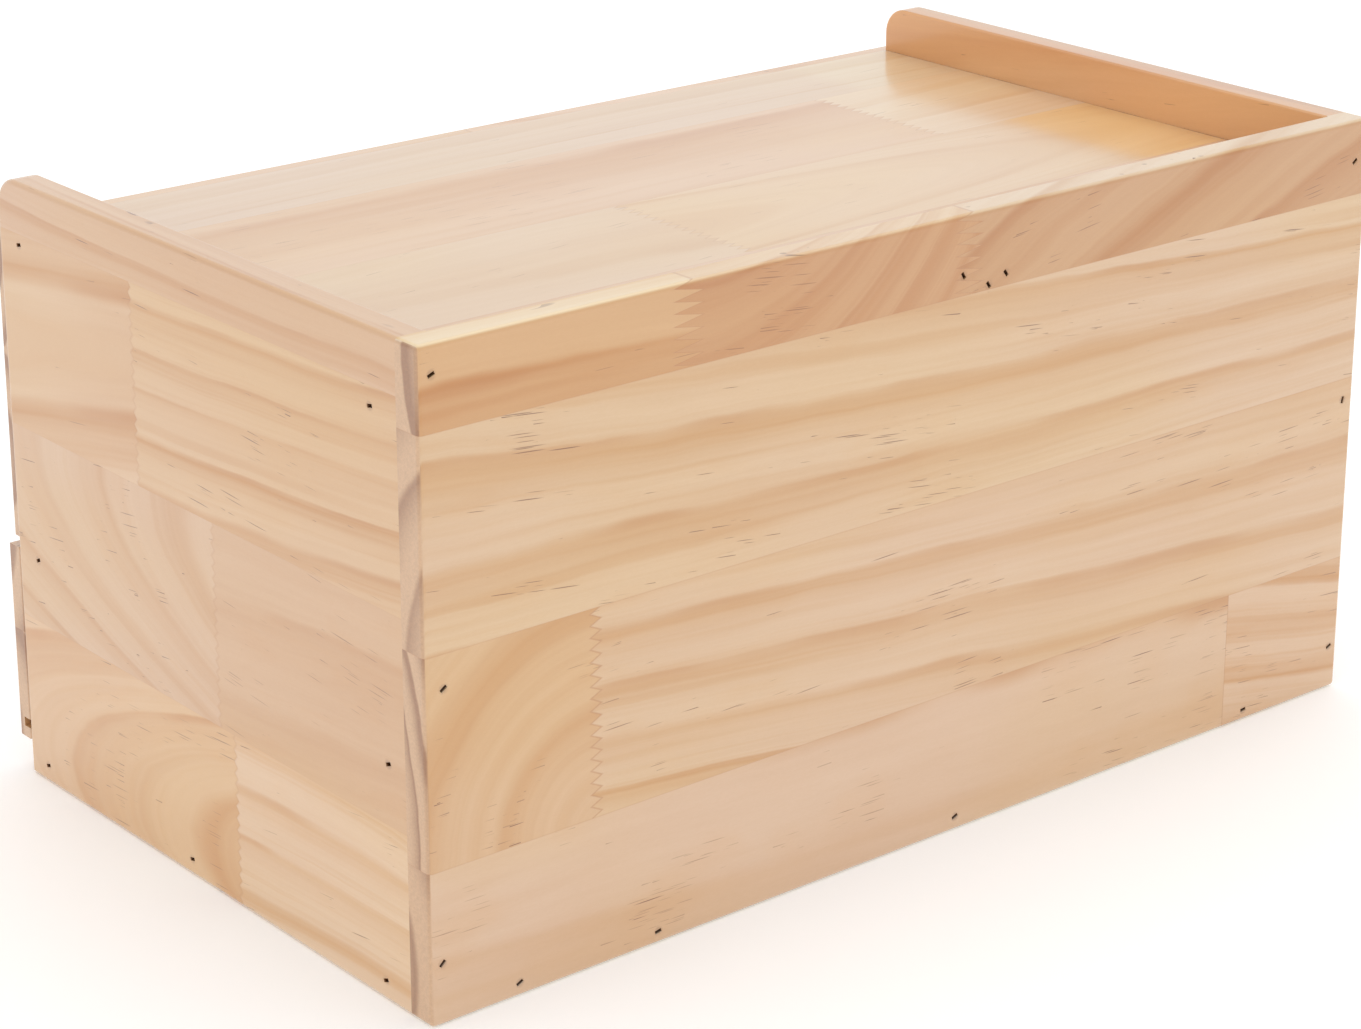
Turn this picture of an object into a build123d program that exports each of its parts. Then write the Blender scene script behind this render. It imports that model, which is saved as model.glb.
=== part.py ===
from build123d import *
import os
from math import cos, sin, radians

# ---------------------------------------------------------------------------
# Wooden toy box: a glued and brad-nailed pine case with a recessed top tray,
# and two drawers that slide on the middle shelf and on the bottom board.
# Frame: millimetres, +Z up, front towards -Y, back towards +Y.
# Origin: centre of the bounding box, on the surface the box stands on.
# ---------------------------------------------------------------------------

# ---- driving dimensions: the case ------------------------------------------
WIDTH = 395.0            # over the two side panels
CASE_DEPTH = 230.0       # from the side panels' front edges to the back face
HEIGHT = 208.0           # over the side panels and the back panel
BOARD = 10.5             # thickness of every case board
TRAY_DEPTH = 17.0        # rim height above the top board
SHELF_MID_Z = 78.75      # height of the middle shelf's mid plane
CORNER_R = 10.0          # rounded front top corner of each side panel
EASE_OUT = 1.6           # sanded arris on the outer edges of the case
EASE_IN = 0.8            # sanded arris on the inner edges

# ---- driving dimensions: drawers -------------------------------------------
FRONT_T = 8.0            # drawer front thickness
FRONT_EASE = 1.8         # rounded outer arris of a drawer front
WALL_T = 8.0             # drawer sides and back
PLY_T = 3.0              # drawer bottom
PLY_IN = 3.5             # how far the drawer bottom enters its grooves
GROOVE_IN = 4.0          # groove depth
GROOVE_H = 3.2           # groove height
GROOVE_UP = 4.0          # groove above the lower edge of the drawer side
SIDE_PLAY = 1.5          # gap between drawer side and side panel, each side
RUN_GAP = 0.4            # gap between a drawer and the board it slides on

UP_FRONT_W = 389.0       # upper drawer front: width, lower and upper edge
UP_FRONT_Z = (82.6, 190.2)
UP_STAND = 0.3           # gap between the upper front and the case edges
UP_WALL_H = 86.0         # height of the upper drawer's walls
UP_REAR_GAP = 6.0        # gap between the upper drawer and the back panel

LO_FRONT_W = 393.0       # lower drawer front
LO_FRONT_Z = (11.0, 80.0)
LO_STAND = 1.0           # the lower drawer stops on the back panel first
LO_WALL_H = 54.0
LO_REAR_GAP = 0.3

# ---- driving dimensions: knobs and fasteners --------------------------------
KNOB_D = 26.0            # turned knob, largest diameter
KNOB_OUT = 20.0          # how far a knob stands out from the drawer front
SCREW_R = 2.0            # knob screw shank radius
SCREW_HEAD_R = 4.0
SCREW_LEN = 20.0         # shank length under the head
BRAD_W, BRAD_T = 1.25, 1.1      # brad shank section
BRAD_HEAD_W = 2.4        # brad head length, same thickness as the shank
BRAD_HEAD_H = 0.8
BRAD_LEN = 20.0
BRAD_SINK = 1.3          # how far the head is driven below the surface
BRAD_FREE = 0.03         # clearance of the hole round the brad

# ---- derived positions -------------------------------------------------------
TOTAL_DEPTH = CASE_DEPTH + LO_STAND + FRONT_T + KNOB_OUT
Y_BACK = TOTAL_DEPTH / 2.0               # outer face of the back panel
Y_BACK_IN = Y_BACK - BOARD               # inner face of the back panel
Y_CASE = Y_BACK - CASE_DEPTH             # front edges of the case boards
X_OUT = WIDTH / 2.0
X_IN = X_OUT - BOARD
Z_TRAY = HEIGHT - TRAY_DEPTH             # top face of the top board
Z_TOP_UNDER = Z_TRAY - BOARD
Z_SHELF = SHELF_MID_Z - BOARD / 2.0      # underside of the shelf
Z_SHELF_TOP = Z_SHELF + BOARD


def block(x0, x1, y0, y1, z0, z1):
    """Rectangular board between two corners."""
    return Pos((x0 + x1) / 2, (y0 + y1) / 2, (z0 + z1) / 2) * Box(
        abs(x1 - x0), abs(y1 - y0), abs(z1 - z0))


def near(a, b, tol=0.02):
    return abs(a - b) < tol


def ease(part, radius, pick):
    """Round the straight or curved edges whose centre pick(x, y, z, bb) accepts."""
    chosen = []
    for e in part.edges():
        bb = e.bounding_box()
        if pick(bb.min, bb.max):
            chosen.append(e)
    if not chosen:
        raise ValueError("no edge picked")
    return fillet(chosen, radius)


# ---- brads: flat-sided wire nails, driven below the surface ------------------
# A brad is described by the point where it enters, the direction it is driven
# in, and the angle that its flat head is turned by about its own axis.

def brad_plane(p, d, turn):
    axis = Vector(*d)
    up = Vector(0, 0, 1)
    side = up.cross(axis)
    a = radians(turn)
    xdir = side * cos(a) + up * sin(a)
    return Plane(origin=Vector(*p), x_dir=xdir, z_dir=axis)


def brad_solid(p, d, turn):
    pl = brad_plane(p, d, turn)
    shank_lo = BRAD_SINK + BRAD_HEAD_H * 0.5
    shank = Pos(0, 0, (shank_lo + BRAD_SINK + BRAD_LEN - 1.2) / 2) * Box(
        BRAD_W, BRAD_T, BRAD_SINK + BRAD_LEN - 1.2 - shank_lo)
    head = Pos(0, 0, BRAD_SINK + BRAD_HEAD_H / 2) * Box(BRAD_HEAD_W, BRAD_T, BRAD_HEAD_H)
    # chisel point
    z0 = BRAD_SINK + BRAD_LEN - 1.2
    tip = loft([Pos(0, 0, z0) * Rectangle(BRAD_W, BRAD_T),
                Pos(0, 0, z0 + 1.2) * Rectangle(BRAD_W * 0.35, BRAD_T * 0.35)])
    return pl.location * (head + shank + tip)


def brad_hole(p, d, turn):
    pl = brad_plane(p, d, turn)
    f = BRAD_FREE
    depth_head = BRAD_SINK + BRAD_HEAD_H + f
    wide = Pos(0, 0, (depth_head - 1.0) / 2) * Box(
        BRAD_HEAD_W + 2 * f, BRAD_T + 2 * f, depth_head + 1.0)
    z1 = BRAD_SINK + BRAD_LEN + 0.3
    thin = Pos(0, 0, z1 / 2) * Box(BRAD_W + 2 * f, BRAD_T + 2 * f, z1)
    return pl.location * (wide + thin)


def drive(brads, *boards):
    """Cut the holes of a list of brads in the given boards."""
    out = []
    for b in boards:
        bb = b.bounding_box()
        for (p, d, turn) in brads:
            end = Vector(*p) + Vector(*d) * (BRAD_SINK + BRAD_LEN + 0.3)
            lo = [min(p[i], list(end)[i]) - 2 for i in range(3)]
            hi = [max(p[i], list(end)[i]) + 2 for i in range(3)]
            mn, mx = list(bb.min), list(bb.max)
            if all(lo[i] < mx[i] and hi[i] > mn[i] for i in range(3)):
                b = b - brad_hole(p, d, turn)
        out.append(b)
    return out


def group(brads):
    return Compound(children=[brad_solid(*b).solid() if hasattr(brad_solid(*b), "solid")
                              else brad_solid(*b) for b in brads])


# ---------------------------------------------------------------------------
# Case boards
# ---------------------------------------------------------------------------

def side_panel(sign):
    """Upright side, front top corner rounded, butted on the back panel."""
    x_a, x_b = sign * X_IN, sign * X_OUT
    p = block(x_a, x_b, Y_CASE, Y_BACK_IN, 0, HEIGHT)
    p = ease(p, CORNER_R, lambda a, b: near(a.Y, Y_CASE) and near(b.Y, Y_CASE)
             and near(a.Z, HEIGHT) and near(b.Z, HEIGHT))
    # outer arrises: bottom, front, corner and top
    p = ease(p, EASE_OUT, lambda a, b: near(a.X, x_b) and near(b.X, x_b)
             and not (near(a.Y, Y_BACK_IN) and near(b.Y, Y_BACK_IN)))
    # inner arrises: front, corner and top
    p = ease(p, EASE_IN, lambda a, b: near(a.X, x_a) and near(b.X, x_a)
             and not (near(a.Y, Y_BACK_IN) and near(b.Y, Y_BACK_IN))
             and not (near(a.Z, 0) and near(b.Z, 0)))
    return p


left_side_panel = side_panel(-1)
right_side_panel = side_panel(1)

# the back covers the rear ends of the side panels and rises to the rim
back_panel = block(-X_OUT, X_OUT, Y_BACK_IN, Y_BACK, 0, HEIGHT)
back_panel = ease(back_panel, EASE_OUT, lambda a, b: (
    (near(a.Y, Y_BACK) and near(b.Y, Y_BACK))
    or (near(a.Z, HEIGHT) and near(b.Z, HEIGHT) and near(abs(a.X), X_OUT) and near(a.X, b.X))
    or (near(a.Z, 0) and near(b.Z, 0) and near(abs(a.X), X_OUT) and near(a.X, b.X))))
# its inner top arris is only sanded where it is free, between the side panels
rim_corner = block(-X_IN, X_IN, Y_BACK_IN, Y_BACK_IN + EASE_IN, HEIGHT - EASE_IN, HEIGHT)
rim_round = Pos(0, Y_BACK_IN + EASE_IN, HEIGHT - EASE_IN) * Rot(0, 90, 0) * Cylinder(
    EASE_IN, 2 * X_IN + 2)
back_panel = back_panel - (rim_corner - rim_round)


def case_board(z0):
    p = block(-X_IN, X_IN, Y_CASE, Y_BACK_IN, z0, z0 + BOARD)
    return ease(p, EASE_IN, lambda a, b: near(a.Y, Y_CASE) and near(b.Y, Y_CASE)
                and near(a.Z, b.Z))


top_board = case_board(Z_TOP_UNDER)
middle_shelf = case_board(Z_SHELF)
bottom_board = case_board(0.0)

# brads through the side panels into the three boards
TOP_MID = Z_TOP_UNDER + BOARD / 2
BOT_MID = BOARD / 2
side_brads = []
for s in (-1, 1):
    for (y_from_back, z, turn) in (
            (23.3, TOP_MID - 0.8, -11), (217.4, TOP_MID + 1.6, -12),
            (18.9, SHELF_MID_Z - 1.3, -21), (217.1, SHELF_MID_Z + 1.3, -25),
            (23.1, BOT_MID + 1.2, -22), (129.2, BOT_MID + 0.3, -14), (218.6, BOT_MID + 0.9, -18)):
        side_brads.append(((s * X_OUT, Y_BACK - y_from_back, z), (-s, 0, 0), turn * s))

# brads through the back panel, into the side panels, the top board and the
# bottom board
END_MID = BOARD / 2
back_brads = []
for (x, z, turn) in (
        (X_OUT - END_MID + 0.6, 199.0, -22), (X_OUT - END_MID - 1.2, 105.5, -35),
        (X_OUT - END_MID + 1.2, 20.0, -44),
        (-X_OUT + END_MID + 1.6, 193.8, -36), (-X_OUT + END_MID + 0.2, 108.4, -78),
        (-X_OUT + END_MID - 0.8, 16.0, -24),
        (-8.2, TOP_MID + 2.8, 59), (-26.5, TOP_MID + 0.2, 53), (-19.1, TOP_MID - 2.2, 56),
        (165.8, BOT_MID - 0.8, -27), (113.2, BOT_MID - 1.2, -12),
        (-10.9, BOT_MID - 0.4, -23), (-149.2, BOT_MID - 1.4, -8)):
    back_brads.append(((x, Y_BACK, z), (0, -1, 0), turn))

left_side_panel, right_side_panel = drive(side_brads, left_side_panel, right_side_panel)
top_board, middle_shelf, bottom_board = drive(side_brads, top_board, middle_shelf, bottom_board)
(back_panel,) = drive(back_brads, back_panel)
left_side_panel, right_side_panel, top_board, bottom_board = drive(
    back_brads, left_side_panel, right_side_panel, top_board, bottom_board)

side_panel_brads = group(side_brads)
back_panel_brads = group(back_brads)


# ---------------------------------------------------------------------------
# Drawers
# ---------------------------------------------------------------------------

def turned_knob(y_face, z):
    """Knob turned about the Y axis: foot, waist and domed head."""
    r = KNOB_D / 2
    pts_foot = (7.5, 0.0)
    with BuildSketch(Plane.XY) as sk:
        with BuildLine():
            l1 = Line((0, 0), (7.0, 0))
            l2 = RadiusArc((7.0, 0), (7.5, 0.8), -0.9)
            l3 = Spline((7.5, 0.8), (6.3, 4.5), (7.4, 8.2), (r - 1.2, 10.6),
                        tangents=((-0.25, 1), (1, 0.45)))
            l4 = Spline((r - 1.2, 10.6), (r, 13.0), (r - 1.6, 15.6), (r - 5.5, 18.6), (0, KNOB_OUT),
                        tangents=((1, 0.45), (-1, 0)))
            l5 = Line((0, KNOB_OUT), (0, 0))
        make_face()
    k = revolve(sk.sketch, Axis.Y, 360)
    # blind hole for the screw, on the knob's axis
    hole = Rot(90, 0, 0) * Pos(0, 0, -(SCREW_LEN - FRONT_T + 0.6) / 2) * Cylinder(
        SCREW_R + 0.03, SCREW_LEN - FRONT_T + 0.6)
    k = k - hole
    return Pos(0, y_face, z) * (Rot(180, 0, 0) * k)


def knob_screw(y_inner, z):
    """Pan-head screw driven from inside the drawer, cross recess in its head."""
    shank = Cylinder(SCREW_R, SCREW_LEN - 1.5, align=(Align.CENTER, Align.CENTER, Align.MIN))
    point = Pos(0, 0, SCREW_LEN - 1.5) * Cone(SCREW_R, 1.0, 1.5,
                                              align=(Align.CENTER, Align.CENTER, Align.MIN))
    head = Pos(0, 0, -2.4) * Cylinder(SCREW_HEAD_R, 2.4,
                                      align=(Align.CENTER, Align.CENTER, Align.MIN))
    head = fillet(head.edges().sort_by(Axis.Z)[0], 1.1)
    s = head + shank + point
    for a in (0, 90):
        s = s - Pos(0, 0, -2.4 + 0.6) * Rot(0, 0, a) * Box(4.2, 0.9, 1.6)
    return Pos(0, y_inner, z) * (Rot(90, 0, 0) * s)


def drawer(front_w, front_z, stand, z_run, wall_h, rear_gap, brad_rows, back_rows):
    y_in = Y_CASE - stand                # inner face of the front
    y_out = y_in - FRONT_T
    y_rear = Y_BACK_IN - rear_gap        # rear ends of the drawer sides
    x_o = X_IN - SIDE_PLAY
    x_i = x_o - WALL_T
    z0 = z_run + RUN_GAP
    z1 = z0 + wall_h
    g0 = z0 + GROOVE_UP
    g1 = g0 + GROOVE_H
    zc = (front_z[0] + front_z[1]) / 2

    # front: rounded outer arrises, groove for the bottom along its inner face
    f = block(-front_w / 2, front_w / 2, y_out, y_in, *front_z)
    f = ease(f, FRONT_EASE, lambda a, b: near(a.Y, y_out) and near(b.Y, y_out))
    f = ease(f, EASE_IN, lambda a, b: near(a.Y, y_in) and near(b.Y, y_in))
    f = f - block(-front_w / 2 - 1, front_w / 2 + 1, y_in - GROOVE_IN, y_in + 1, g0, g1)
    f = f - Pos(0, (y_in + y_out) / 2, zc) * Rot(90, 0, 0) * Cylinder(SCREW_R + 0.2, FRONT_T + 2)

    # side walls, grooved along their inner faces
    walls = []
    for s in (-1, 1):
        w = block(s * x_i, s * x_o, y_in, y_rear, z0, z1)
        w = ease(w, EASE_IN, lambda a, b: near(a.Z, z1) and near(b.Z, z1) and near(a.X, b.X))
        w = w - block(s * (x_i - 1), s * (x_i + GROOVE_IN), y_in - 1,
                      y_rear - WALL_T + GROOVE_IN, g0, g1)
        walls.append(w)

    # back wall between the side walls
    bk = block(-x_i, x_i, y_rear - WALL_T, y_rear, z0, z1)
    bk = ease(bk, EASE_IN, lambda a, b: near(a.Z, z1) and near(b.Z, z1) and near(a.Y, b.Y))
    bk = bk - block(-x_i - 1, x_i + 1, y_rear - WALL_T - 1, y_rear - WALL_T + GROOVE_IN, g0, g1)

    # thin bottom held in the grooves
    ply = block(-x_i - PLY_IN, x_i + PLY_IN, y_in - PLY_IN, y_rear - WALL_T + PLY_IN,
                g0 + (GROOVE_H - PLY_T) / 2, g0 + (GROOVE_H + PLY_T) / 2)

    x_m = (x_o + x_i) / 2
    brads = []
    turns = (35, 70, 120, 50, 100, 20)
    for n, s in enumerate((-1, 1)):
        for m, z in enumerate(brad_rows):
            brads.append(((s * x_m, y_out, z), (0, 1, 0), turns[(m + 2 * n) % 6]))
        for m, z in enumerate(back_rows):
            brads.append(((s * x_o, y_rear - WALL_T / 2, z), (-s, 0, 0), turns[(m + 3 * n) % 6]))
    f, wl, wr, bk = drive(brads, f, walls[0], walls[1], bk)
    return {
        "front": f, "left_side": wl, "right_side": wr, "back": bk, "bottom": ply,
        "knob": turned_knob(y_out, zc), "knob_screw": knob_screw(y_in, zc),
        "brads": group(brads),
    }


upper = drawer(UP_FRONT_W, UP_FRONT_Z, UP_STAND, Z_SHELF_TOP, UP_WALL_H, UP_REAR_GAP,
               brad_rows=(103.0, 130.0, 157.0), back_rows=(104.0, 156.0))
lower = drawer(LO_FRONT_W, LO_FRONT_Z, LO_STAND, BOARD, LO_WALL_H, LO_REAR_GAP,
               brad_rows=(28.0, 52.0), back_rows=(28.0, 52.0))

nodes = {
    "left_side_panel": left_side_panel,
    "right_side_panel": right_side_panel,
    "back_panel": back_panel,
    "top_board": top_board,
    "middle_shelf": middle_shelf,
    "bottom_board": bottom_board,
    "side_panel_brads": side_panel_brads,
    "back_panel_brads": back_panel_brads,
}
for name, dr in (("upper_drawer", upper), ("lower_drawer", lower)):
    for key, shape in dr.items():
        nodes[f"{name}_{key}"] = shape

os.makedirs("parts", exist_ok=True)
for name, shape in nodes.items():
    export_step(shape, f"parts/{name}.step")
    bb = shape.bounding_box()
    print(f"{name:28s} solids {len(shape.solids()):2d}  vol {shape.volume / 1000:9.3f} cm3  "
          f"x {bb.min.X:8.2f} {bb.max.X:8.2f}  y {bb.min.Y:8.2f} {bb.max.Y:8.2f}  "
          f"z {bb.min.Z:7.2f} {bb.max.Z:7.2f}")
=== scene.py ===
import math
import random

import bpy
from mathutils import Matrix, Vector


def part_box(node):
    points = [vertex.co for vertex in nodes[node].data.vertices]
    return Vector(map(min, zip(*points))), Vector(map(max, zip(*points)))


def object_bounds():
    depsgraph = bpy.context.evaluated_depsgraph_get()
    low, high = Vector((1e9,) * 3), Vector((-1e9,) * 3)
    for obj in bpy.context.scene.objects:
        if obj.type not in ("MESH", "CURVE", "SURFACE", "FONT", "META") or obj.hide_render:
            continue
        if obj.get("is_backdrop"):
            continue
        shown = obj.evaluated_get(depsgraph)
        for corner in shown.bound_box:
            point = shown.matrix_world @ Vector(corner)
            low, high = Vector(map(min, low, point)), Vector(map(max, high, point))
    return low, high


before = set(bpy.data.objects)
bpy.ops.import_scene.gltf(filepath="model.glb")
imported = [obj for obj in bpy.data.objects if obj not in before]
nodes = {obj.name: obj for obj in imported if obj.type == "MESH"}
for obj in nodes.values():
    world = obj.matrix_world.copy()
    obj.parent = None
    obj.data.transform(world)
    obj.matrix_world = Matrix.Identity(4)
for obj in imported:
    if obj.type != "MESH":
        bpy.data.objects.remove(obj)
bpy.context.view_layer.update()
scene = bpy.context.scene

# ---------------------------------------------------------------------------
# A small writer of node trees. Values are sockets or plain numbers.
# ---------------------------------------------------------------------------


def srgb(r, g, b):
    def lin(c):
        c = c / 255.0
        return c / 12.92 if c <= 0.04045 else ((c + 0.055) / 1.055) ** 2.4

    return (lin(r), lin(g), lin(b))


class Tree:
    def __init__(self, material):
        material.use_nodes = True
        self.tree = material.node_tree
        self.tree.nodes.clear()
        self.count = 0

    def node(self, kind, **props):
        n = self.tree.nodes.new(kind)
        n.location = (200 * (self.count % 12), -170 * (self.count // 12))
        self.count += 1
        for k, v in props.items():
            setattr(n, k, v)
        return n

    def put(self, socket, value):
        if isinstance(value, bpy.types.NodeSocket):
            self.tree.links.new(value, socket)
        elif isinstance(value, (tuple, list)):
            if len(value) == 3 and len(socket.default_value) == 4:
                value = (*value, 1.0)
            socket.default_value = value
        else:
            socket.default_value = value

    def math(self, op, a, b=None, c=None, clamp=False):
        n = self.node("ShaderNodeMath", operation=op, use_clamp=clamp)
        self.put(n.inputs[0], a)
        if b is not None:
            self.put(n.inputs[1], b)
        if c is not None:
            self.put(n.inputs[2], c)
        return n.outputs[0]

    def vec(self, op, a, b=None, c=None):
        n = self.node("ShaderNodeVectorMath", operation=op)
        self.put(n.inputs[0], a)
        if b is not None:
            self.put(n.inputs["Scale"] if op == "SCALE" else n.inputs[1], b)
        if c is not None:
            self.put(n.inputs[2], c)
        return n.outputs["Value"] if op in ("DOT_PRODUCT", "LENGTH", "DISTANCE") else n.outputs[0]

    def add(self, a, b): return self.math("ADD", a, b)
    def sub(self, a, b): return self.math("SUBTRACT", a, b)
    def mul(self, a, b): return self.math("MULTIPLY", a, b)
    def mad(self, a, b, c): return self.math("MULTIPLY_ADD", a, b, c)
    def above(self, a, b): return self.math("GREATER_THAN", a, b)

    def join(self, x, y, z):
        n = self.node("ShaderNodeCombineXYZ")
        for s, v in zip(n.inputs, (x, y, z)):
            self.put(s, v)
        return n.outputs[0]

    def split(self, v):
        n = self.node("ShaderNodeSeparateXYZ")
        self.put(n.inputs[0], v)
        return n.outputs[0], n.outputs[1], n.outputs[2]

    def range(self, v, a, b, c=0.0, d=1.0, smooth=True):
        n = self.node("ShaderNodeMapRange", interpolation_type="SMOOTHSTEP" if smooth else "LINEAR")
        n.clamp = True
        self.put(n.inputs["Value"], v)
        for k, x in zip(("From Min", "From Max", "To Min", "To Max"), (a, b, c, d)):
            self.put(n.inputs[k], x)
        return n.outputs["Result"]

    def mixv(self, f, a, b):
        n = self.node("ShaderNodeMix", data_type="VECTOR", factor_mode="UNIFORM")
        self.put(n.inputs[0], f)
        self.put(n.inputs[4], a)
        self.put(n.inputs[5], b)
        return n.outputs[1]

    def mixf(self, f, a, b):
        n = self.node("ShaderNodeMix", data_type="FLOAT")
        self.put(n.inputs[0], f)
        self.put(n.inputs[2], a)
        self.put(n.inputs[3], b)
        return n.outputs[0]

    def mixc(self, f, a, b, blend="MIX"):
        n = self.node("ShaderNodeMix", data_type="RGBA", blend_type=blend)
        self.put(n.inputs[0], f)
        self.put(n.inputs[6], a)
        self.put(n.inputs[7], b)
        return n.outputs[2]

    def noise(self, v, scale=1.0, detail=2.0, rough=0.5, dims="3D", distortion=0.0):
        n = self.node("ShaderNodeTexNoise", noise_dimensions=dims)
        if dims == "1D":
            self.put(n.inputs["W"], v)
        else:
            self.put(n.inputs["Vector"], v)
        n.inputs["Scale"].default_value = scale
        n.inputs["Detail"].default_value = detail
        n.inputs["Roughness"].default_value = rough
        n.inputs["Distortion"].default_value = distortion
        return n.outputs[0]

    def voronoi(self, v, scale=1.0, randomness=1.0):
        n = self.node("ShaderNodeTexVoronoi", voronoi_dimensions="3D", feature="F1", distance="EUCLIDEAN")
        self.put(n.inputs["Vector"], v)
        n.inputs["Scale"].default_value = scale
        n.inputs["Randomness"].default_value = randomness
        return n.outputs["Distance"], n.outputs["Color"]

    def coords(self):
        n = self.node("ShaderNodeTexCoord")
        return n.outputs["Object"], n.outputs["Normal"]

    def bump(self, height, strength, distance):
        n = self.node("ShaderNodeBump")
        n.inputs["Strength"].default_value = strength
        n.inputs["Distance"].default_value = distance
        self.put(n.inputs["Height"], height)
        return n.outputs[0]

    def shader(self, colour, rough, normal=None, **fixed):
        n = self.node("ShaderNodeBsdfPrincipled")
        self.put(n.inputs["Base Color"], colour)
        self.put(n.inputs["Roughness"], rough)
        if normal is not None:
            self.put(n.inputs["Normal"], normal)
        for k, v in fixed.items():
            n.inputs[k.replace("_", " ")].default_value = v
        out = self.node("ShaderNodeOutputMaterial")
        self.tree.links.new(n.outputs[0], out.inputs["Surface"])
        return n


# ---------------------------------------------------------------------------
# Edge-glued, finger-jointed pine. Every board has its own grid of staves.
# Board coordinates are in decimetres: U along the grain, V across the strips,
# W in from the face. A stave's rings are the level lines of
#   phi = a0 + au U + av V + aw W + auu U2 + auv UV + avv V2.
# ---------------------------------------------------------------------------

EARLY = srgb(216, 180, 146)
LATE = srgb(197, 141, 79)
LINE = srgb(190, 128, 62)
# dark enough that the lacquer's white sheen over them still leaves them brown
DASH = srgb(104, 50, 0)
# painted shade inside the nail holes, and the stain round them
NAIL = srgb(84, 38, 0)
END_EARLY = srgb(204, 165, 128)
END_LATE = srgb(156, 110, 74)


def stave(a0, lin, quad=(0, 0, 0), aw=-4.0, sp=0.2, tint=(1, 1, 1), amp=1.0, dash=0.5, wob=0.08, arc=None, rad=(0, 0, 0)):
    """rad is (u, v, rings per decimetre) of a swirl; arc is (v, w, pitch) of the rings on the end grain."""
    return dict(a0=a0, lin=lin, quad=quad, aw=aw, sp=sp, tint=tint, amp=amp, dash=dash, wob=wob, arc=arc, rad=rad)


def flip(s):
    """The same rings with their latewood on the other side of each line."""
    s = dict(s)
    s["a0"], s["aw"] = -s["a0"], -s["aw"]
    s["lin"] = tuple(-x for x in s["lin"])
    s["quad"] = tuple(-x for x in s["quad"])
    s["rad"] = (s["rad"][0], s["rad"][1], -s["rad"][2])
    return s


def dash_slope(s):
    if s["rad"][2] or abs(s["lin"][1]) < 0.5:
        return 0.0
    return max(-0.12, min(0.12, -s["lin"][0] / s["lin"][1]))


def random_stave(rng, v0, v1, u0):
    kind = rng.random()
    vm = (v0 + v1) / 2
    tint = rng.choice([(1, 1, 1), (1.01, 0.985, 0.97), (0.985, 0.975, 0.985), (1.0, 0.98, 0.94), (1.015, 1.01, 1.02), (0.97, 0.94, 0.91)])
    amp = rng.uniform(0.7, 1.05)
    dash = rng.uniform(0.2, 0.9)
    if kind < 0.45:                      # a cathedral: nested parabolas
        au = rng.choice([-1, 1]) * rng.uniform(0.8, 2.2)
        avv = rng.uniform(9, 18)
        vc = vm + rng.uniform(-0.18, 0.18)
        um = u0 + rng.uniform(0, 1.5)
        return stave(avv * vc * vc - au * um, (au, -2 * avv * vc), (0.0, 0.0, avv), aw=3.0, sp=0.16, tint=tint, amp=amp, dash=dash, wob=0.2)
    n = rng.uniform(3.5, 8.0) * rng.choice([-1, 1])
    tilt = rng.uniform(-0.12, 0.12) * n
    return stave(rng.uniform(0, 5), (tilt, n), (0.06 * rng.uniform(-1, 1), 0.3 * rng.uniform(-1, 1), rng.uniform(-3, 3)), aw=-n, sp=1 / abs(n), tint=tint, amp=amp, dash=dash)


def random_layout(seed, width, length, strip=0.66, first=None, joint=(1.3, 3.6)):
    """Strips across width, each cut into staves along length. All in decimetres."""
    rng = random.Random(seed)
    layout, v = [], 0.0
    step = first if first else strip * rng.uniform(0.4, 1.0)
    while v < width - 0.05:
        v1 = v + step
        if width - v1 < 0.12:
            v1 = width + 0.1
        cells, u = [], 0.0
        while u < length:
            u1 = u + rng.uniform(*joint)
            if length - u1 < 0.4:
                u1 = length + 1
            cells.append((u1, rng.random() < 0.75, random_stave(rng, v, v1, u)))
            u = u1
        layout.append((v1, cells))
        v, step = v1, strip * rng.uniform(0.96, 1.04)
    return layout


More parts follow.
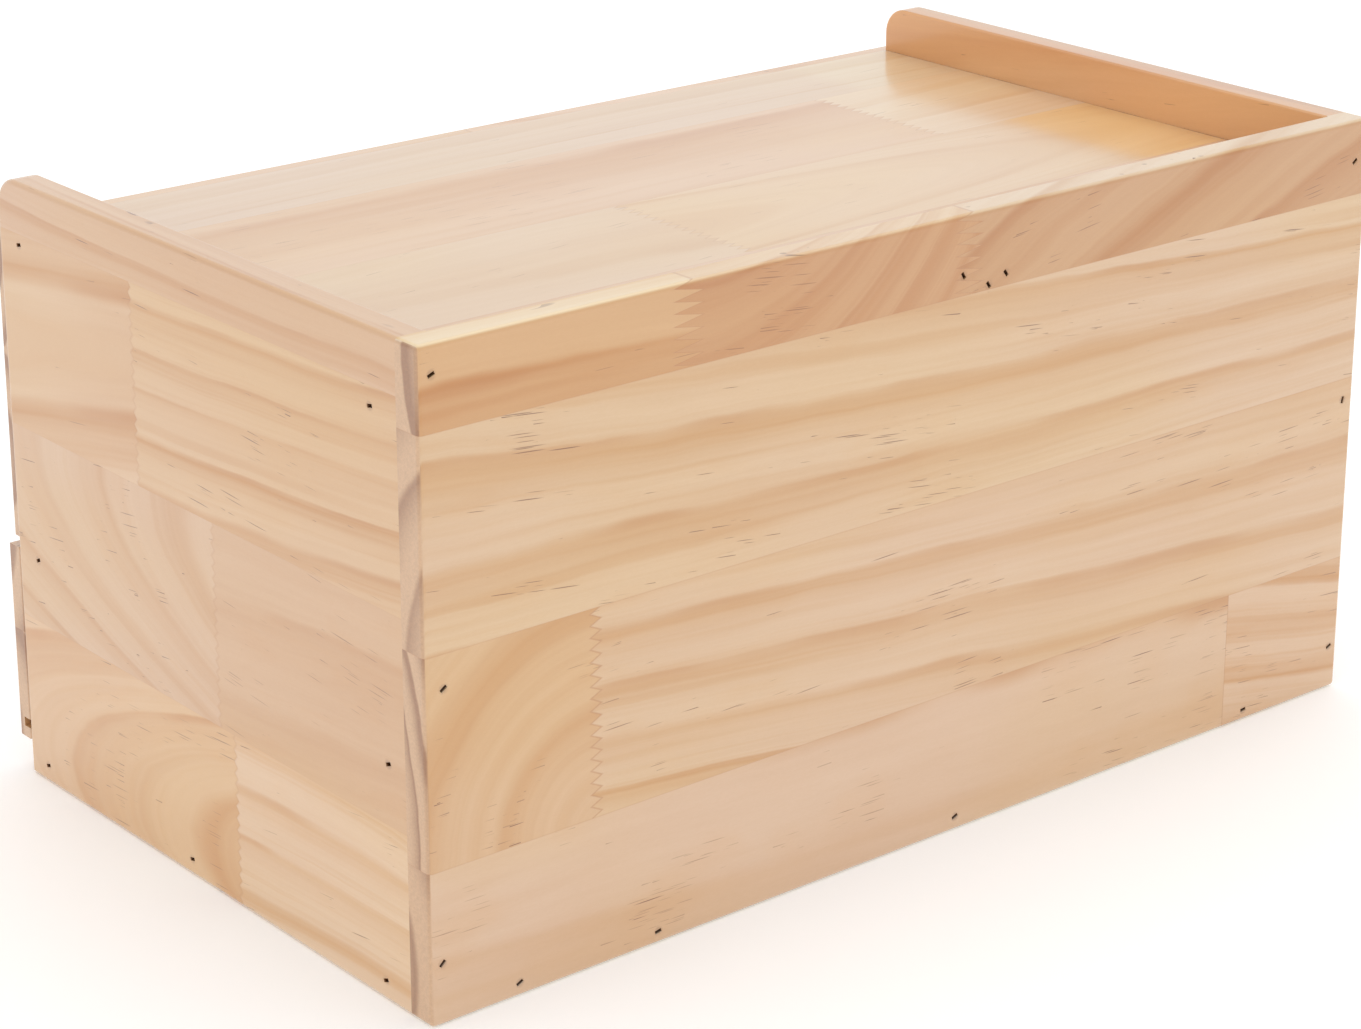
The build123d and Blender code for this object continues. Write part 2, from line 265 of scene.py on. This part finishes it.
def pine(name, axes, origin, layout, seed, dash_level=1.0, finger=0.04, glue=0.3, edge_painted_light=(1.03, 1.04, 1.05), nails=(), seams=(), outer_face_no_bounce=None):
    """axes: for U, V, W, the object axis (0, 1, 2) and its sign; origin: the value added, in decimetres.
    layout: [(v_end, [(u_end, fingers, stave), ...]), ...]"""
    m = bpy.data.materials.new(name)
    t = Tree(m)
    obj, nrm = t.coords()
    P = t.split(obj)
    U, V, W = (t.mad(P[a], 10.0 * s, o) for (a, s), o in zip(axes, origin))
    N = t.split(nrm)
    end_face = t.range(t.math("ABSOLUTE", N[axes[0][0]]), 0.45, 0.85)
    edge_face = t.range(t.math("ABSOLUTE", N[axes[1][0]]), 0.45, 0.85)

    # finger joints: a triangle wave across the stave, slightly uneven
    tri = t.math("PINGPONG", t.mad(t.noise(t.join(0.0, t.mul(V, 9.0), 0.0), 1.0, 1.0), 0.012, V), 0.0192)
    wavy = {}

    def along_fingers(reach):
        if not reach:
            return U
        reach = finger if reach is True else reach
        if reach not in wavy:
            wavy[reach] = t.add(U, t.mad(tri, reach * 2 / 0.0192, -reach))
        return wavy[reach]


    # which stave this is
    seeds = random.Random(seed)
    per_strip = []
    glue_lines = []
    prev_v = None
    for k, (v1, cells) in enumerate(layout):
        params = None
        prev_u = None
        for u1, fingers, s in cells:
            if not cells or prev_u is None or prev_fingers is not None:
                sd = seeds.uniform(0, 40)
            arc = s["arc"] or (v1 - 0.33 + seeds.uniform(-0.3, 0.3), seeds.choice([-0.35, 0.45]) + seeds.uniform(-0.15, 0.15), seeds.uniform(0.10, 0.19))
            vecs = [
                (s["lin"][0], s["lin"][1], s["aw"]),
                s["quad"],
                (s["a0"], sd, s["sp"]),
                (s["amp"], s["dash"], s["wob"]),
                arc,
                s["tint"],
                s["rad"],
                (dash_slope(s), 0.0, 0.0),
            ]
            if params is None:
                params = vecs
            elif prev_fingers is None:   # the same stave, whose tone changes smoothly; on the top board this fades in the painted reflection near the left side panel
                f = t.range(U, prev_u - 0.08, prev_u + 0.08)
                params = [t.mixv(f, a, b) for a, b in zip(params, vecs)]
            else:
                f = t.above(along_fingers(prev_fingers), prev_u)
                params = [t.mixv(f, a, b) for a, b in zip(params, vecs)]
                line = t.math("ABSOLUTE", t.sub(along_fingers(prev_fingers), prev_u))
                glue_lines.append((line, k, prev_fingers))
            prev_u, prev_fingers = u1, fingers
        per_strip.append(params)
    total = per_strip[0]
    lines = None
    for k in range(1, len(per_strip)):
        edge = layout[k - 1][0]
        f = t.above(V, edge)
        total = [t.mixv(f, a, b) for a, b in zip(total, per_strip[k])]
        d = t.math("ABSOLUTE", t.sub(V, edge))
        lines = d if lines is None else t.math("MINIMUM", lines, d)
    joint = None
    for line, k, fingers in glue_lines:
        lo = layout[k - 1][0] if k else -1.0
        hi = layout[k][0]
        inside = t.mul(t.above(V, lo), t.math("LESS_THAN", V, hi))
        d = t.add(t.mul(line, 0.33 if fingers else 1.0), t.mul(t.sub(1.0, inside), 10.0))
        joint = d if joint is None else t.math("MINIMUM", joint, d)

    LIN, QUAD, ASP, AMP, ARC, TINT, RAD, EXT = total
    a0, sd, sp = t.split(ASP)
    amp, dash, wob = t.split(AMP)
    UVW = t.join(U, V, W)
    shift = t.vec("SCALE", (3.17, 5.71, 1.93), sd)
    UVWs = t.vec("ADD", UVW, shift)

    # the ring field
    Q = t.join(t.mul(U, U), t.mul(U, V), t.mul(V, V))
    phi = t.add(t.add(t.vec("DOT_PRODUCT", LIN, UVW), t.vec("DOT_PRODUCT", QUAD, Q)), a0)
    ru, rv, rk = t.split(RAD)
    ou, ov = t.sub(U, ru), t.sub(V, rv)
    swirl = t.math("SQRT", t.add(t.add(t.mul(ou, ou), t.mul(ov, ov)), 0.0004))
    phi = t.mad(swirl, rk, phi)
    warp = t.noise(t.vec("MULTIPLY", UVWs, (1.3, 3.2, 3.0)), 1.0, 3.0, 0.55)
    phi = t.add(phi, t.mul(t.mad(warp, 2.0, -1.0), t.mul(wob, 1.6)))
    avc, awc, pitch = t.split(ARC)
    dv, dw = t.sub(V, avc), t.sub(W, awc)
    rad = t.math("SQRT", t.add(t.mul(dv, dv), t.mul(dw, dw)))
    phi_end = t.math("DIVIDE", t.add(rad, t.mul(t.mad(warp, 2.0, -1.0), 0.02)), pitch)
    uneven = t.noise(t.add(t.mul(phi, 0.9), sd), 1.0, 2.0, 0.6, dims="1D")
    phi = t.add(phi, t.mul(t.mad(uneven, 2.0, -1.0), t.mul(wob, 2.6)))
    ring = t.mixf(t.above(end_face, 0.5), phi, phi_end)

    cell = t.math("FLOOR", ring)
    frac = t.math("FRACT", ring)
    per_ring = t.noise(t.add(t.mul(cell, 3.7), sd), 1.0, 0.0, 0.5, dims="1D")
    strength = t.range(per_ring, 0.3, 0.7, 0.45, 1.0)
    # earlywood darkens slowly into latewood and ends at a fairly sharp line
    rise = t.math("POWER", t.range(frac, 0.20, 0.90, smooth=False), 1.6)
    fall = t.range(frac, t.mad(per_ring, -0.24, 0.94), 1.0, 1.0, 0.0)
    late = t.mul(t.mul(rise, fall), strength)
    # thinner false rings inside the broad ones
    fine_ring = t.noise(t.join(t.mul(ring, 5.0), t.mul(U, 0.35), sd), 1.0, 2.0, 0.6)
    late2 = t.range(fine_ring, 0.44, 0.72)
    late_all = t.math("ADD", t.mul(t.mul(late, amp), 0.72), t.mul(t.mul(late2, amp), 0.25), clamp=True)
    # the hard line at a ring's end comes and goes along the grain
    onoff = t.noise(t.join(t.mul(U, 1.6), t.mul(cell, 5.3), t.add(sd, 4.0)), 1.0, 1.0, 0.5)
    hard = t.mul(t.range(frac, 0.78, 0.92), t.range(frac, 0.92, 0.995, 1.0, 0.0))
    hard = t.mul(t.mul(hard, t.range(onoff, 0.42, 0.66)), t.mul(amp, 0.46))

    # fibre streaks that follow the rings
    S = t.mul(phi, sp)
    along = t.add(U, t.mul(sd, 1.3))
    st1 = t.noise(t.join(t.mul(along, 1.3), t.mul(S, 62.0), t.mul(W, 40.0)), 1.0, 3.0, 0.65)
    st2 = t.noise(t.join(t.mul(along, 0.8), t.mul(S, 13.0), t.mul(W, 12.0)), 1.0, 2.0, 0.5)
    pores = t.noise(t.vec("MULTIPLY", UVWs, (60.0, 260.0, 260.0)), 1.0, 1.0, 0.5)
    end_pores = t.noise(t.vec("MULTIPLY", UVWs, (40.0, 120.0, 120.0)), 1.0, 2.0, 0.8)

    # resin canals: thin dark dashes along the board, in drifts
    slope = t.split(EXT)[0]
    tilt = t.sub(t.add(V, t.mul(t.mad(warp, 2.0, -1.0), 0.012)), t.mul(U, slope))
    dsh = t.voronoi(t.join(t.mul(along, 6.5), t.mul(tilt, 210.0), t.add(t.mul(W, 30.0), sd)), 1.0, 1.0)
    dcol = t.split(dsh[1])
    drift = t.noise(t.join(t.mul(along, 2.2), t.mul(S, 9.0), t.add(sd, 9.0)), 1.0, 2.0, 0.6)
    want = t.mul(t.range(drift, 0.50, 0.68), dash)
    chosen = t.math("LESS_THAN", dcol[0], t.mul(want, 0.85 * dash_level))
    reach = t.mad(t.math("POWER", dcol[1], 2.2), 0.40, 0.12)
    dot = t.range(dsh[0], t.mul(reach, 0.5), reach, 1.0, 0.0)
    dashes = t.mul(t.mul(t.mul(dot, chosen), t.mad(t.math("POWER", dcol[2], 1.3), 0.65, 0.35)), t.sub(1.0, end_face))

    tone = t.noise(t.vec("MULTIPLY", UVWs, (0.9, 2.4, 1.2)), 1.0, 2.0, 0.5)
    tone2 = t.noise(t.vec("ADD", t.vec("MULTIPLY", UVWs, (0.7, 1.6, 1.2)), (17.0, 3.0, 8.0)), 1.0, 1.0, 0.5)

    colour = t.mixc(late_all, EARLY, LATE)
    colour = t.mixc(hard, colour, LINE)
    colour = t.mixc(t.range(tone, 0.3, 0.72, 0.0, 0.6), colour, t.mixc(1.0, colour, (0.98, 0.94, 0.90), "MULTIPLY"))
    colour = t.mixc(t.range(tone2, 0.35, 0.7, 0.0, 0.85), colour, t.mixc(1.0, colour, (1.0, 0.985, 0.85), "MULTIPLY"))
    colour = t.mixc(t.mul(want, 0.6), colour, t.mixc(1.0, colour, (0.99, 0.945, 0.87), "MULTIPLY"))
    shade = t.add(t.mad(st1, 0.12, -0.06), t.mad(st2, 0.10, -0.05))
    shade = t.add(shade, t.mad(pores, 0.05, -0.025))
    shade = t.add(t.mul(shade, t.sub(1.0, end_face)), t.mul(end_face, t.mad(end_pores, 0.44, -0.22)))
    g1 = t.add(1.0, shade)
    g = t.math("POWER", g1, 0.75)
    g2 = t.math("POWER", g1, 1.25)
    g3 = t.math("POWER", g1, 1.9)
    colour = t.mixc(1.0, colour, t.join(g, g2, g3), "MULTIPLY")
    colour = t.mixc(1.0, colour, TINT, "MULTIPLY")
    if outer_face_no_bounce is not None:                # towards the outside face the painted warm bounce light in the strip's tint is taken back out
        band = t.mul(t.range(W, 0.02, 0.07, 1.0, 0.0), t.math("LESS_THAN", V, layout[0][0]))
        colour = t.mixc(band, colour, t.mixc(1.0, colour, outer_face_no_bounce, "MULTIPLY"))
    colour = t.mixc(t.mul(dashes, 0.85), colour, DASH)
    end_colour = t.mixc(t.math("MULTIPLY", t.add(late, t.mul(hard, 0.8)), 1.6, clamp=True), END_EARLY, END_LATE)
    end_colour = t.mixc(1.0, end_colour, t.join(g1, g1, g1), "MULTIPLY")
    colour = t.mixc(end_face, colour, end_colour)
    # painted light: the faces across the strips (a board's long edges) are made paler, as a painted highlight, or
    # darker, as painted shade, by the factor below, only because of the way they face
    colour = t.mixc(edge_face, colour, t.mixc(1.0, colour, edge_painted_light, "MULTIPLY"))
    crease = None
    if lines is not None:
        crease = t.mul(t.range(lines, 0.0006, 0.0030, 1.0, 0.0), 0.5)
    if joint is not None:
        j = t.range(joint, 0.0006, 0.0030, 1.0, 0.0)
        j = t.mul(j, t.sub(1.0, end_face))
        crease = j if crease is None else t.math("MAXIMUM", crease, j)
    if crease is not None:
        colour = t.mixc(t.mul(crease, glue), colour, srgb(178, 118, 70))

    # in the nail holes the wood darkens with depth below the face: painted shade; round them, stained wood along the
    # fibres
    if nails:
        near = None
        for u, v in nails:
            d = t.vec("DISTANCE", t.join(U, V, 0.0), (u, v, 0.0))
            near = d if near is None else t.math("MINIMUM", near, d)
        inside = t.mul(t.range(near, 0.017, 0.021, 1.0, 0.0), t.range(W, 0.001, 0.006))
        halo = t.mul(t.range(near, 0.009, 0.020, 1.0, 0.0), t.range(st1, 0.35, 0.6, 0.05, 0.35))
        colour = t.mixc(t.math("MAXIMUM", t.mul(inside, 0.88), halo), colour, NAIL)
    # painted shadow in the hairline gaps where the top board meets the rims: a dark line along each seam
    if seams:
        seam_shadow = None
        for u in seams:
            d = t.math("ABSOLUTE", t.sub(U, u))
            seam_shadow = d if seam_shadow is None else t.math("MINIMUM", seam_shadow, d)
        seam_shadow = t.mul(t.range(seam_shadow, 0.001, 0.009, 1.0, 0.0), t.range(t.noise(t.join(0.0, t.mul(V, 2.6), 3.0), 1.0, 2.0, 0.6), 0.35, 0.6, 0.35, 0.85))
        colour = t.mixc(seam_shadow, colour, srgb(120, 62, 22))

    rough = t.add(t.mad(st1, 0.10, 0.36), t.mul(end_face, 0.2))
    height = t.add(t.mul(st1, 0.5), t.mul(late_all, 0.35))
    height = t.sub(height, t.mul(dashes, 0.9))
    if crease is not None:
        height = t.sub(height, t.mul(crease, 0.5))
    height = t.add(height, t.mul(t.mul(end_pores, end_face), 1.2))
    t.shader(colour, rough, t.bump(height, 0.35, 0.00010), IOR=1.5, Coat_Weight=1.0, Coat_Roughness=0.17, Coat_IOR=1.6)
    return m


def give(node, material):
    o = nodes[node]
    if not o.data.materials:
        o.data.materials.append(material)
    for i in range(len(o.data.materials)):
        o.data.materials[i] = material
    for s in o.material_slots:
        s.material = material


# ---------------------------------------------------------------------------
# Case boards
# ---------------------------------------------------------------------------
X, Y, Z = 0, 1, 2

back = [
    (0.26, [
        (0.96, True, flip(stave(-0.21, (-0.04, 2.0), (0.02, 0.0, 0.0), -3.1, 0.2, (0.935, 0.815, 0.585), 1.75, 0.3, 0.05, arc=(0.02, -0.60, 0.17)))),
        (2.08, True, flip(stave(3.75, (-7.14, 5.0), (3.4, 0.0, 0.0), -8.2, 0.105, (0.85, 0.67, 0.455), 0.9, 1.0))),
        (9, False, flip(stave(-2.65, (1.17, 2.11), (0, 0.215, 0), -2.75, 0.33, (0.845, 0.71, 0.545), 1.15, 0.6))),
    ]),
    (0.92, [
        (9, False, flip(stave(0.007, (-0.52, 2.86), (0.02, 0.48, 0.475), -8.1, 0.221, (1.0, 1.04, 1.05), 1.15, 0.9, arc=(0.95, -0.58, 0.1675)))),
    ]),
    (1.587, [
        (0.61, 0.02, stave(0.0, (0.0, 0.0), (0, 0, 0), 2.0, 0.3, (0.975, 0.945, 0.835), 0.95, 1.0, 0.05, arc=(1.6, 2.03, 0.0767), rad=(0.62, 1.60, 2.5))),
        (9, False, flip(stave(-4.65, (0.10, 5.87), (0.061, -0.555, 0.135), 9.6, 0.192, (1.0, 1.035, 1.05), 1.0, 0.9))),
    ]),
    (9, [
        (3.36, False, stave(-0.44, (-0.0225, 0.9), (0.0, 0.0, 0.0), 3.0, 0.3, (1.0, 1.035, 1.10), 1.3, 1.0, 0.02, arc=(1.96, 0.663, 0.2033))),
        (9, False, stave(-4.16, (-0.29, 3.71), (-0.055, -0.187, 0.761), 8.7, 0.17, (1.0, 1.01, 1.0), 1.5, 1.0)),
    ]),
]
side = [
    (0.17, [
        (9, False, flip(stave(0.48, (-0.23, 7.49), (0.07, 0.26, 0.24), -7.8, 0.128, (0.925, 0.86, 0.82), 0.95, 0.5))),
    ]),
    (0.83, [
        (0.795, 0.008, stave(0.695, (0.777, 5.425), (-0.115, -1.575, -5.0), 3.3, 0.36, (0.985, 0.975, 0.93), 1.7, 0.3, 0.02)),
        (9, True, stave(5.51, (0.30, -7.58), (-0.167, -0.35, 1.03), 8.4, 0.143, (0.965, 0.93, 0.81), 1.25, 0.7)),
    ]),
    (1.50, [
        (1.21, True, stave(-3.614, (2.2, 9.874), (0, 0, -5.808), -5.4, 0.3, (0.95, 0.93, 0.90), 0.75, 1.0, 0.05)),
        (9, True, flip(stave(-1.75, (-0.04, 0.54), (0, 0.226, 0.913), 4.0, 0.30, (0.92, 0.855, 0.75), 0.5, 0.9))),
    ]),
    (9, [
        (1.29, True, stave(21.695, (-1.2, -21.25), (0, 0, 5.52), -1.2, 0.3, (1.015, 0.985, 0.87), 1.15, 1.0, 0.05)),
        (9, False, flip(stave(-8.09, (0.44, 3.75), (-0.316, 0.444, 0.357), -8.7, 0.172, (1.07, 1.13, 1.15), 1.1, 0.5))),
    ]),
]
# the cells of the first three strips towards the left side panel's rim (U above 3.1 to 3.4) are paler, and gold in the
# third strip: painted reflection of the rim's inner face in the lacquer, with painted warm bounce light
top = [
    (0.425, [
        (3.35, None, stave(-0.02, (0.30, 4.93), (-0.07, 0.165, 0.067), -5.3, 0.188, (0.99, 1.075, 1.17), 0.4, 0.2)),
        (9, False, stave(-0.02, (0.30, 4.93), (-0.07, 0.165, 0.067), -5.3, 0.188, (1.03, 1.19, 1.29), 0.4, 0.2)),
    ]),
    (1.075, [
        (3.12, True, stave(0.67, (0.03, -1.52), (-0.01, 0, 0.0), -2.8, 0.3, (1.01, 0.99, 0.935), 1.1, 0.6, 0.04)),
        (9, False, stave(-1.2, (0.2, 3.4), (0.0, 0.1, 0.4), -3.0, 0.25, (1.07, 1.18, 1.22), 0.5, 0.3)),
    ]),
    (1.75, [
        (1.67, True, stave(-1.38, (0.746, 1.87), (-0.11, -0.40, 0.165), -1.9, 0.3, (1.0, 1.045, 1.0), 0.5, 0.3)),
        (3.44, None, stave(20.55, (0.6, -31.0), (0.0, 0.0, 11.0), -1.2, 0.25, (1.035, 1.075, 1.0), 0.55, 0.3, 0.03)),
        (9, False, stave(20.55, (0.6, -31.0), (0.0, 0.0, 11.0), -1.2, 0.25, (1.15, 1.12, 0.80), 0.38, 0.3, 0.03)),
    ]),
    (9, [
        (2.4, True, stave(0.3, (0.2, 4.1), (0.0, 0.2, 0.3), -4.0, 0.22, (1.01, 1.0, 0.98), 0.7, 0.4)),
        (9, False, stave(1.3, (-0.3, 3.3), (0.1, 0.0, 0.6), 4.0, 0.25, (1.0, 0.99, 0.97), 0.7, 0.3)),
    ]),
]
# where the brads enter, in the board's U and V
BACK_NAILS = tuple((1.975 - x / 100, 2.08 - z / 100) for x, z in (
    (192.85, 199.0), (191.05, 105.5), (193.45, 20.0), (-190.65, 193.8), (-192.05, 108.4), (-193.05, 16.0),
    (-8.2, 188.55), (-26.5, 185.95), (-19.1, 183.55), (165.8, 4.45), (113.2, 4.05), (-10.9, 4.85), (-149.2, 3.85)))
SIDE_NAILS = tuple((2.30 - y / 100, 2.08 - z / 100) for y, z in (
    (23.3, 184.95), (217.4, 187.35), (18.9, 77.45), (217.1, 80.05), (23.1, 6.45), (129.2, 5.55), (218.6, 6.15)))
# the back panel's top edge is made much paler and whiter: painted highlight and sheen
M_BACK = pine("pine_back_panel", ((X, -1), (Z, -1), (Y, -1)), (1.975, 2.08, 1.295), back, 11, finger=0.055, glue=0.45, edge_painted_light=(1.25, 1.66, 2.20), nails=BACK_NAILS)
M_SIDE_R = pine("pine_right_side", ((Y, 1), (Z, -1), (X, -1)), (1.005, 2.08, 1.975), side, 23, finger=0.008, glue=0.2, edge_painted_light=(1.03, 1.03, 0.97), nails=SIDE_NAILS)
left = random_layout(31, 2.08, 2.3, first=0.31)
# the left side panel's top strip is the rim round the top board: its orange tint is painted warm bounce light on the
# rim's inner face, taken back out towards the outside face; its edge faces are darkened and warmed below as painted
# shade
left[0] = (0.31, [(9, False, stave(0.1, (0.25, 2.4), (0.05, 0.1, 0.3), 3.5, 0.25, (1.17, 0.94, 0.63), 0.8, 0.3))])
M_SIDE_L = pine("pine_left_side", ((Y, 1), (Z, -1), (X, 1)), (1.005, 2.08, 1.975), left, 37, finger=0.02, glue=0.2, edge_painted_light=(0.80, 0.72, 0.58), nails=SIDE_NAILS, outer_face_no_bounce=(0.90, 1.04, 1.36))
M_TOP = pine("pine_top_board", ((X, -1), (Y, 1), (Z, -1)), (1.975, 1.005, 1.91), top, 41, finger=0.02, seams=(3.845, 0.105))
M_SHELF = pine("pine_middle_shelf", ((X, 1), (Y, 1), (Z, -1)), (1.9, 1.005, 0.84), random_layout(53, 2.2, 3.8), 59)
M_FLOOR = pine("pine_bottom_board", ((X, 1), (Y, 1), (Z, 1)), (1.9, 1.005, 0.0), random_layout(61, 2.2, 3.8), 67)
give("back_panel", M_BACK)
give("right_side_panel", M_SIDE_R)
give("left_side_panel", M_SIDE_L)
give("top_board", M_TOP)
give("middle_shelf", M_SHELF)
give("bottom_board", M_FLOOR)

# ---------------------------------------------------------------------------
# Drawer boards
# ---------------------------------------------------------------------------
UP_NAILS = tuple((1.975 + s * 1.815, 1.902 - z / 100) for s in (-1, 1) for z in (103, 130, 157))
LO_NAILS = tuple((1.975 + s * 1.815, 0.80 - z / 100) for s in (-1, 1) for z in (28, 52))
M_UF = pine("pine_upper_front", ((X, 1), (Z, -1), (Y, 1)), (1.975, 1.902, 1.088), random_layout(71, 1.08, 3.9, first=0.42), 73, nails=UP_NAILS)
M_LF = pine("pine_lower_front", ((X, 1), (Z, -1), (Y, 1)), (1.975, 0.80, 1.095), random_layout(83, 0.70, 3.95, first=0.30), 89, nails=LO_NAILS)
give("upper_drawer_front", M_UF)
give("lower_drawer_front", M_LF)
for k, (node, axes, org) in enumerate((
    ("upper_drawer_left_side", ((Y, 1), (Z, -1), (X, 1)), (1.01, 1.704, 1.86)),
    ("upper_drawer_right_side", ((Y, 1), (Z, -1), (X, -1)), (1.01, 1.704, 1.86)),
    ("upper_drawer_back", ((X, 1), (Z, -1), (Y, -1)), (1.86, 1.704, 1.13)),
    ("lower_drawer_left_side", ((Y, 1), (Z, -1), (X, 1)), (1.02, 0.649, 1.86)),
    ("lower_drawer_right_side", ((Y, 1), (Z, -1), (X, -1)), (1.02, 0.649, 1.86)),
    ("lower_drawer_back", ((X, 1), (Z, -1), (Y, -1)), (1.86, 0.649, 1.187)),
)):
    give(node, pine("pine_" + node, axes, org, random_layout(101 + 7 * k, 0.9, 3.9, strip=0.62, first=0.5), 131 + k, dash_level=0.8))


def plywood(name, origin_z):
    m = bpy.data.materials.new(name)
    t = Tree(m)
    obj, nrm = t.coords()
    x, y, z = t.split(obj)
    n = t.split(nrm)
    edge = t.range(t.math("ABSOLUTE", n[2]), 0.4, 0.8, 1.0, 0.0)
    warp = t.noise(t.join(t.mul(x, 5.0), t.mul(y, 16.0), 0.0), 1.0, 2.0, 0.5)
    broad = t.noise(t.join(t.mul(x, 3.0), t.add(t.mul(y, 30.0), t.mul(warp, 3.0)), 0.3), 1.0, 3.0, 0.5)
    fine = t.noise(t.join(t.mul(x, 22.0), t.mul(y, 900.0), 1.0), 1.0, 2.0, 0.6)
    ply = t.math("PINGPONG", t.sub(z, origin_z), 0.001)
    dark = t.range(ply, 0.00045, 0.0006)
    c = t.mixc(t.range(broad, 0.35, 0.7), srgb(236, 212, 178), srgb(222, 187, 146))
    g = t.mad(fine, 0.12, 0.94)
    c = t.mixc(1.0, c, t.join(g, g, t.mul(g, g)), "MULTIPLY")
    c = t.mixc(t.mul(edge, dark), c, srgb(172, 126, 86))
    t.shader(c, t.mad(fine, 0.12, 0.45), t.bump(fine, 0.3, 0.00008), IOR=1.5)
    return m


for node, z0 in (("upper_drawer_bottom", 0.0885), ("lower_drawer_bottom", 0.015)):
    give(node, plywood("plywood_" + node, z0))


def turned(name, cx, cz):
    """A knob turned from one piece of pine, its grain along Y."""
    m = bpy.data.materials.new(name)
    t = Tree(m)
    obj, nrm = t.coords()
    x, y, z = t.split(obj)
    rx, rz = t.sub(x, cx + 0.021), t.sub(z, cz - 0.016)
    rad = t.math("SQRT", t.add(t.mul(rx, rx), t.mul(rz, rz)))
    warp = t.noise(t.join(t.mul(x, 60.0), t.mul(y, 14.0), t.mul(z, 60.0)), 1.0, 2.0, 0.5)
    ring = t.add(t.mul(rad, 240.0), t.mul(warp, 0.9))
    fr = t.math("FRACT", ring)
    late = t.mul(t.math("POWER", t.range(fr, 0.1, 0.9), 1.8), t.range(fr, 0.92, 1.0, 1.0, 0.0))
    fine = t.noise(t.join(t.mul(x, 1400.0), t.mul(y, 60.0), t.mul(z, 1400.0)), 1.0, 2.0, 0.6)
    lathe = t.noise(t.join(0.0, t.mul(y, 2600.0), 0.0), 1.0, 1.0, 0.5)
    c = t.mixc(t.mul(late, 0.32), srgb(222, 186, 149), srgb(196, 142, 88))
    g = t.mad(fine, 0.16, 0.92)
    c = t.mixc(1.0, c, t.join(g, t.mul(g, g), t.math("POWER", g, 2.4)), "MULTIPLY")
    t.shader(c, t.mad(fine, 0.1, 0.34), t.bump(t.add(fine, t.mul(lathe, 0.6)), 0.25, 0.00008), IOR=1.5, Coat_Weight=0.2, Coat_Roughness=0.22)
    return m


for node in ("upper_drawer_knob", "lower_drawer_knob"):
    lo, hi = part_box(node)
    give(node, turned("turned_" + node, (lo.x + hi.x) / 2, (lo.z + hi.z) / 2))


def steel(name, rust, bright=(0.42, 0.40, 0.37)):
    m = bpy.data.materials.new(name)
    t = Tree(m)
    obj, _ = t.coords()
    spots = t.noise(t.vec("SCALE", obj, 900.0), 1.0, 3.0, 0.6)
    brushed = t.noise(t.vec("MULTIPLY", obj, (400.0, 6000.0, 6000.0)), 1.0, 2.0, 0.6)
    c = t.mixc(t.range(spots, 0.5, 0.75), bright, rust)
    t.shader(c, t.mad(brushed, 0.25, 0.28), t.bump(brushed, 0.2, 0.00003), Metallic=1.0)
    return m


M_BRAD = steel("brad_steel", (0.05, 0.02, 0.01), (0.13, 0.065, 0.03))
M_SCREW = steel("screw_steel", (0.34, 0.32, 0.29))
for node in ("side_panel_brads", "back_panel_brads", "upper_drawer_brads", "lower_drawer_brads"):
    give(node, M_BRAD)
for node in ("upper_drawer_knob_screw", "lower_drawer_knob_screw"):
    give(node, M_SCREW)

# ---------------------------------------------------------------------------
# Floor, light and camera
# ---------------------------------------------------------------------------
mesh = bpy.data.meshes.new("floor")
R = 12.0
mesh.from_pydata([(-R, -R, -0.0004), (R, -R, -0.0004), (R, R, -0.0004), (-R, R, -0.0004)], [], [(0, 1, 2, 3)])
floor = bpy.data.objects.new("floor", mesh)
scene.collection.objects.link(floor)
floor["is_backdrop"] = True
fm = bpy.data.materials.new("floor_paper")
t = Tree(fm)
obj, _ = t.coords()
paper = t.noise(t.vec("SCALE", obj, 260.0), 1.0, 2.0, 0.5)
t.shader(t.mixc(paper, (0.95, 0.95, 0.95), (0.97, 0.97, 0.97)), 0.85, Specular_IOR_Level=0.15, Emission_Color=(1, 1, 1, 1), Emission_Strength=0.16)
mesh.materials.append(fm)

world = bpy.data.worlds.new("studio")
scene.world = world
world.use_nodes = True
world.node_tree.nodes["Background"].inputs["Color"].default_value = (1.0, 1.0, 1.0, 1)
world.node_tree.nodes["Background"].inputs["Strength"].default_value = 0.97


def light(name, loc, target, size, power, colour=(1, 1, 1)):
    d = bpy.data.lights.new(name, "AREA")
    d.shape, d.size, d.energy, d.color = "SQUARE", size, power, colour
    o = bpy.data.objects.new(name, d)
    o.location = loc
    o.rotation_mode = "QUATERNION"
    o.rotation_quaternion = (Vector(target) - Vector(loc)).to_track_quat("-Z", "Y")
    scene.collection.objects.link(o)
    return o


light("key_above", (-0.5, -0.3, 2.0), (0, 0, 0.1), 1.6, 6.0)

cam_data = bpy.data.cameras.new("camera")
cam = bpy.data.objects.new("camera", cam_data)
scene.collection.objects.link(cam)
scene.camera = cam
CAM_AT = Vector((0.1975 + 2.309 * 0.230, 0.1295 + 3.285 * 0.230, 2.206 * 0.230))
az, el, roll = math.radians(39.55), math.radians(18.86), math.radians(0.05)
fwd = Vector((-math.cos(el) * math.sin(az), -math.cos(el) * math.cos(az), -math.sin(el)))
right = fwd.cross(Vector((0, 0, 1))).normalized()
up = right.cross(fwd)
rot = Matrix((right, up, -fwd)).transposed() @ Matrix.Rotation(roll, 3, "Z")
cam.location = CAM_AT
cam.rotation_mode = "QUATERNION"
cam.rotation_quaternion = rot.to_quaternion()
cam_data.sensor_width = 36.0
cam_data.sensor_fit = "HORIZONTAL"
cam_data.lens = 3573.0 / 1361.0 * 36.0
cam_data.shift_x = 0.0
cam_data.shift_y = (400.0 - 514.5) / 1361.0
cam_data.clip_start, cam_data.clip_end = 0.01, 100.0
scene.view_settings.view_transform = "Standard"
scene.view_settings.look = "None"

lo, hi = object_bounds()
